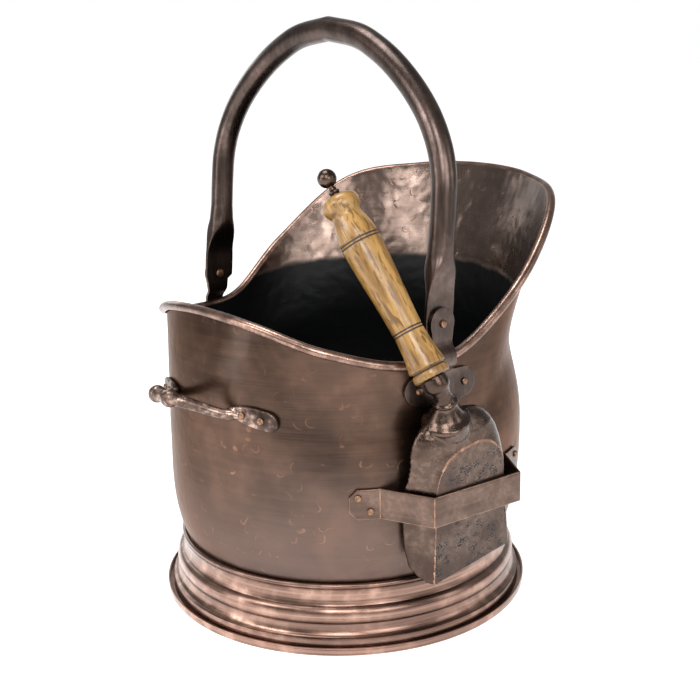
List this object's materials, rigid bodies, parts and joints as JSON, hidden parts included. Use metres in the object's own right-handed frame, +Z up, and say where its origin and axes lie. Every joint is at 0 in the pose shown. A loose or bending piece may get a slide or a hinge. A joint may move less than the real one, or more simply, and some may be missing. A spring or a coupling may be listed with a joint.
{
  "type": "coal bucket",
  "caption": "Helmet coal bucket with a tall pouring hood, swinging bail handle, tipping handle at the back, spun foot ring and a wood-gripped shovel in a side pocket.",
  "frame": {"origin": "centre of the foot ring on the floor", "axes": "+Z up, +X towards the pouring hood, the bail's axis along Y, the shovel on the -Y side"},
  "size_m": [0.3938, 0.3667, 0.5159],
  "materials": {
    "antique_copper": "steel sheet, dark antique copper plate, hammered",
    "bright_copper": "steel sheet, brushed copper plate",
    "dark_bronze": "steel, smooth dark bronze plate",
    "cast_copper": "rough casting, antique copper plate",
    "rivet_copper": "copper-plated rivets",
    "steel": "plain wire and rod",
    "waxed_wood": "turned mango wood, waxed, with burnt rings"
  },
  "bodies": {
    "bucket": {"bucket_body": "antique_copper", "bucket_bottom": "antique_copper", "rim_wire": "steel", "foot_ring": "bright_copper", "ear_near": "dark_bronze", "ear_far": "dark_bronze", "ear_near_rivet_front": "rivet_copper", "ear_near_rivet_rear": "rivet_copper", "ear_near_rivet_low": "rivet_copper", "ear_far_rivet_front": "rivet_copper", "ear_far_rivet_rear": "rivet_copper", "ear_far_rivet_low": "rivet_copper", "bail_pivot_near": "rivet_copper", "bail_pivot_far": "rivet_copper", "tipping_handle": "cast_copper", "tipping_rivet_near_front": "rivet_copper", "tipping_rivet_near_rear": "rivet_copper", "tipping_rivet_far_front": "rivet_copper", "tipping_rivet_far_rear": "rivet_copper", "shovel_pocket": "dark_bronze", "pocket_rivet_rear_low": "rivet_copper", "pocket_rivet_rear_high": "rivet_copper", "pocket_rivet_front_low": "rivet_copper", "pocket_rivet_front_high": "rivet_copper"},
    "bail": {"bail_handle": "dark_bronze"},
    "shovel": {"shovel_head": "cast_copper", "wooden_grip": "waxed_wood", "handle_rod": "steel", "handle_finial": "cast_copper"}
  },
  "joints": [
    {"name": "bail_swing", "type": "hinge", "parent": "bucket", "child": "bail", "pos_m": [-0.026, 0, 0.2749], "axis": [0, 1, 0], "range_deg": [-12, 56]},
    {"name": "shovel_lift", "type": "slide", "parent": "bucket", "child": "shovel", "axis": [-0.0438, -0.083, 0.9956], "range_m": [0, 0.1]}
  ]
}
